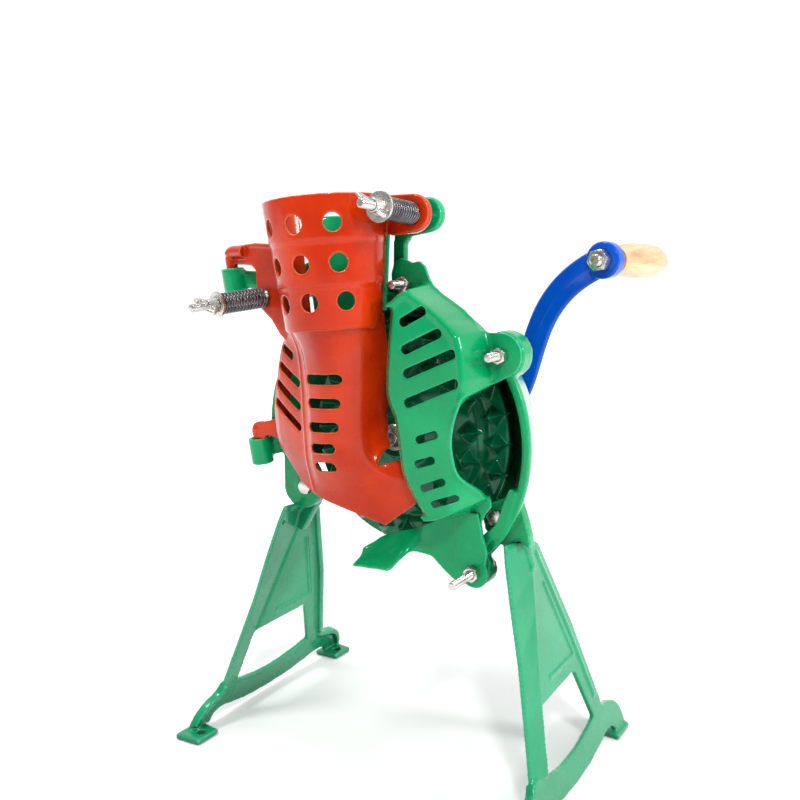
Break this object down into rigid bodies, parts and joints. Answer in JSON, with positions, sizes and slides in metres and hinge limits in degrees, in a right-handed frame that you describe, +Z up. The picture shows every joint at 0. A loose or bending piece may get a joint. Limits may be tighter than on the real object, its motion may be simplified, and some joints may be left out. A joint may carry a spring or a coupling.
{
  "type": "hand corn sheller",
  "caption": "Hand-cranked disc corn sheller on cast A-frame legs: toothed disc in an open dish, sprung swing chute with holed hopper, slotted guard, deflector, wooden knob.",
  "frame": {"origin": "at floor level, in the middle of the rectangle of the four foot bolt holes", "axes": "+Z up, the disc and its shaft turn about Y, the chute and spring bolts face -Y, the crank is behind at +Y, and +X is towards the guard"},
  "size_m": [0.3886, 0.3727, 0.5451],
  "materials": {
    "green_enamel": "glossy green enamel on iron castings",
    "green_disc": "green enamel, worn at the teeth",
    "red_enamel": "glossy orange-red enamel on an iron casting",
    "blue_enamel": "glossy blue enamel",
    "zinc": "bright zinc plate",
    "shaft_steel": "turned steel",
    "spring_steel": "oiled dark spring wire",
    "bush_bronze": "bronze bearing metal",
    "copper_band": "brown-red metal band",
    "knob_wood": "turned pale wood, thinly varnished"
  },
  "bodies": {
    "body": {"body_casting": "green_enamel", "shaft_bushes": "bush_bronze", "guard": "green_enamel", "guard_studs": "zinc", "guard_nuts": "zinc", "kernel_deflector": "green_enamel", "left_leg": "green_enamel", "right_leg": "green_enamel", "leg_bolts": "zinc", "leg_washers": "zinc", "leg_nuts": "zinc", "right_spring_bolt": "zinc", "left_spring_bolt": "zinc"},
    "rotor": {"rotor_disc": "green_disc", "main_shaft": "shaft_steel", "rotor_key": "shaft_steel", "thrust_washer": "bush_bronze", "shaft_front_washer": "zinc", "shaft_front_nut": "zinc", "crank_spacer": "zinc", "crank_arm": "blue_enamel", "crank_key": "shaft_steel", "crank_washer": "zinc", "crank_nut": "zinc", "knob_spindle": "zinc", "spindle_nut": "zinc"},
    "knob": {"knob_ferrule": "copper_band", "wooden_knob": "knob_wood"},
    "chute": {"chute": "red_enamel"},
    "right_clamp": {"right_spring_washer": "zinc", "right_spring": "spring_steel"},
    "right_wing": {"right_wing_nut": "zinc"},
    "left_clamp": {"left_spring_washer": "zinc", "left_spring": "spring_steel"},
    "left_wing": {"left_wing_nut": "zinc"}
  },
  "joints": [
    {"name": "rotor_spin", "type": "hinge", "parent": "body", "child": "rotor", "pos_m": [0, 0.05, 0.318], "axis": [0, 1, 0], "continuous": true},
    {"name": "knob_spin", "type": "hinge", "parent": "rotor", "child": "knob", "pos_m": [0.165, 0.097, 0.488], "axis": [0.1392, 0.9903, 0], "continuous": true},
    {"name": "chute_swing", "type": "hinge", "parent": "body", "child": "chute", "pos_m": [-0.153, -0.04, 0.293], "axis": [0.084, 0.1008, -0.9914], "range_deg": [0, 2.8], "stiffness_Nm_per_rad": 60, "springref_deg": -1.72, "deforming": ["right_spring", "left_spring"]},
    {"name": "right_clamp_slide", "type": "slide", "parent": "body", "child": "right_clamp", "axis": [0, 1, 0], "range_m": [0, 0.004], "deforming": ["right_spring"]},
    {"name": "right_wing_turn", "type": "hinge", "parent": "right_clamp", "child": "right_wing", "pos_m": [0.044, -0.118, 0.528], "axis": [0, 1, 0], "range_deg": [0, 1156]},
    {"name": "left_clamp_slide", "type": "slide", "parent": "body", "child": "left_clamp", "axis": [0.2574, 0.9606, 0.1045], "range_m": [0, 0.004], "deforming": ["left_spring"]},
    {"name": "left_wing_turn", "type": "hinge", "parent": "left_clamp", "child": "left_wing", "pos_m": [-0.12781, -0.12437, 0.44736], "axis": [0.2574, 0.9606, 0.1045], "range_deg": [0, 1156]}
  ],
  "couplings": [
    {"joint": "right_wing_turn", "follows": "right_clamp_slide", "rad_per_m": 5026.5},
    {"joint": "left_wing_turn", "follows": "left_clamp_slide", "rad_per_m": 5026.5}
  ]
}
